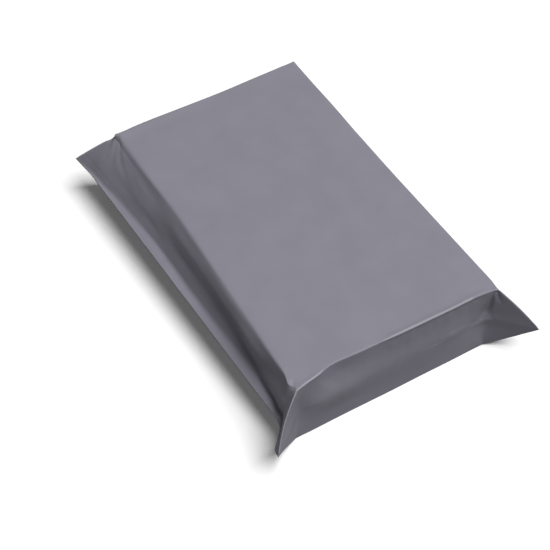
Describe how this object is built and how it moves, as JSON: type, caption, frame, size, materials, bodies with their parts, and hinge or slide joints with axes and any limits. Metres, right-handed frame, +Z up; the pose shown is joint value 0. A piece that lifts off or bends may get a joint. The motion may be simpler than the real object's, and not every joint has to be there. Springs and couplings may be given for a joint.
{
  "type": "poly mailer bag",
  "caption": "Filled and sealed grey film mailer around a flat rectangular pack, with folded ears at its corners and flared side seams.",
  "frame": {"origin": "middle of the flat underside, which is the face it rests on", "axes": "+Z up, +Y along the long way towards the end that the closure flap seals, +X across the short way"},
  "size_m": [0.2371, 0.3453, 0.063],
  "materials": {
    "grey_film": "satin polyethylene film"
  },
  "bodies": {
    "root": {"mailer_bag": "grey_film"}
  },
  "joints": []
}
